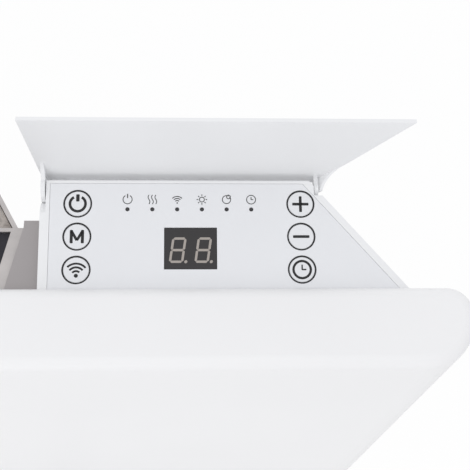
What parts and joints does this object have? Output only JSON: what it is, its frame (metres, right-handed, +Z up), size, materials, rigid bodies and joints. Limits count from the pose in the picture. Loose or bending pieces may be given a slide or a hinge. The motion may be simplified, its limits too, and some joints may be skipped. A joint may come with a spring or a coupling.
{
  "type": "electric radiator",
  "caption": "Electric radiator with a flat white front, an aluminium core and a wedge shaped control housing whose flip-up lid covers keys and a display.",
  "frame": {"origin": "on the floor under the middle of the overall width and depth", "axes": "+X to the right seen from the front, along the width; +Y to the back; +Z up"},
  "size_m": [0.723, 0.24, 0.6099],
  "materials": {
    "front_white": "satin white powder coat",
    "zinc_sheet": "galvanised sheet",
    "heater_film": "dark heating film",
    "insulation": "light mineral board",
    "nylon": "natural nylon",
    "black_plug": "matt black",
    "heater_sheath": "steel sheath",
    "screw_steel": "zinc plated",
    "bracket_grey": "satin grey paint",
    "foot_white": "satin white powder coat",
    "pad_rubber": "matt rubber",
    "housing_white": "smooth moulded plastic",
    "gland_nylon": "black nylon",
    "fascia_white": "smooth panel with printed symbols",
    "circuit_board": "green lacquer",
    "switch_black": "matt black",
    "display_black": "smoked window",
    "lamp_dark": "dark light guides, unlit",
    "store_ceramic": "rough fired ceramic",
    "core_aluminium": "extruded, satin",
    "key_white": "smooth keys with printed symbols"
  },
  "bodies": {
    "frame": {"front_shell": "front_white", "front_back_plate": "zinc_sheet", "heater_plate": "heater_film", "insulation_board": "insulation", "heater_studs": "nylon", "chamber_plugs": "black_plug", "tubular_heaters": "heater_sheath", "core_screws": "screw_steel", "storage_blocks": "store_ceramic", "end_bracket": "bracket_grey", "left_end_cover": "bracket_grey", "foot_left": "foot_white", "foot_right": "foot_white", "foot_bolts": "screw_steel", "foot_pads": "pad_rubber", "hanging_rail": "zinc_sheet", "rail_rivets": "screw_steel", "control_housing": "housing_white", "housing_base": "housing_white", "cable_gland": "gland_nylon", "fascia": "fascia_white", "control_board": "circuit_board", "key_switches": "switch_black", "board_screws": "screw_steel", "display_module": "display_black", "indicator_lights": "lamp_dark", "power_board": "circuit_board", "transformer": "switch_black", "heating_relay": "switch_black", "terminal_block": "gland_nylon", "radio_module": "zinc_sheet", "hinge_pins": "screw_steel", "core_element_1": "core_aluminium", "core_element_2": "core_aluminium", "core_element_3": "core_aluminium", "core_element_4": "core_aluminium", "core_element_5": "core_aluminium", "core_element_6": "core_aluminium"},
    "lid_body": {"lid": "housing_white"},
    "key_power_body": {"key_power": "key_white"},
    "key_mode_body": {"key_mode": "key_white"},
    "key_wifi_body": {"key_wifi": "key_white"},
    "key_plus_body": {"key_plus": "key_white"},
    "key_minus_body": {"key_minus": "key_white"},
    "key_timer_body": {"key_timer": "key_white"}
  },
  "joints": [
    {"name": "lid_hinge", "type": "hinge", "parent": "frame", "child": "lid_body", "pos_m": [0.22, 0.0451, 0.56059], "axis": [1, 0, 0], "range_deg": [0, 105]},
    {"name": "key_power_press", "type": "slide", "parent": "frame", "child": "key_power_body", "axis": [0, 0.1736, -0.9848], "range_m": [0, 0.0005], "stiffness_N_per_m": 400, "springref_m": -0.001},
    {"name": "key_mode_press", "type": "slide", "parent": "frame", "child": "key_mode_body", "axis": [0, 0.1736, -0.9848], "range_m": [0, 0.0005], "stiffness_N_per_m": 400, "springref_m": -0.001},
    {"name": "key_wifi_press", "type": "slide", "parent": "frame", "child": "key_wifi_body", "axis": [0, 0.1736, -0.9848], "range_m": [0, 0.0005], "stiffness_N_per_m": 400, "springref_m": -0.001},
    {"name": "key_plus_press", "type": "slide", "parent": "frame", "child": "key_plus_body", "axis": [0, 0.1736, -0.9848], "range_m": [0, 0.0005], "stiffness_N_per_m": 400, "springref_m": -0.001},
    {"name": "key_minus_press", "type": "slide", "parent": "frame", "child": "key_minus_body", "axis": [0, 0.1736, -0.9848], "range_m": [0, 0.0005], "stiffness_N_per_m": 400, "springref_m": -0.001},
    {"name": "key_timer_press", "type": "slide", "parent": "frame", "child": "key_timer_body", "axis": [0, 0.1736, -0.9848], "range_m": [0, 0.0005], "stiffness_N_per_m": 400, "springref_m": -0.001}
  ]
}
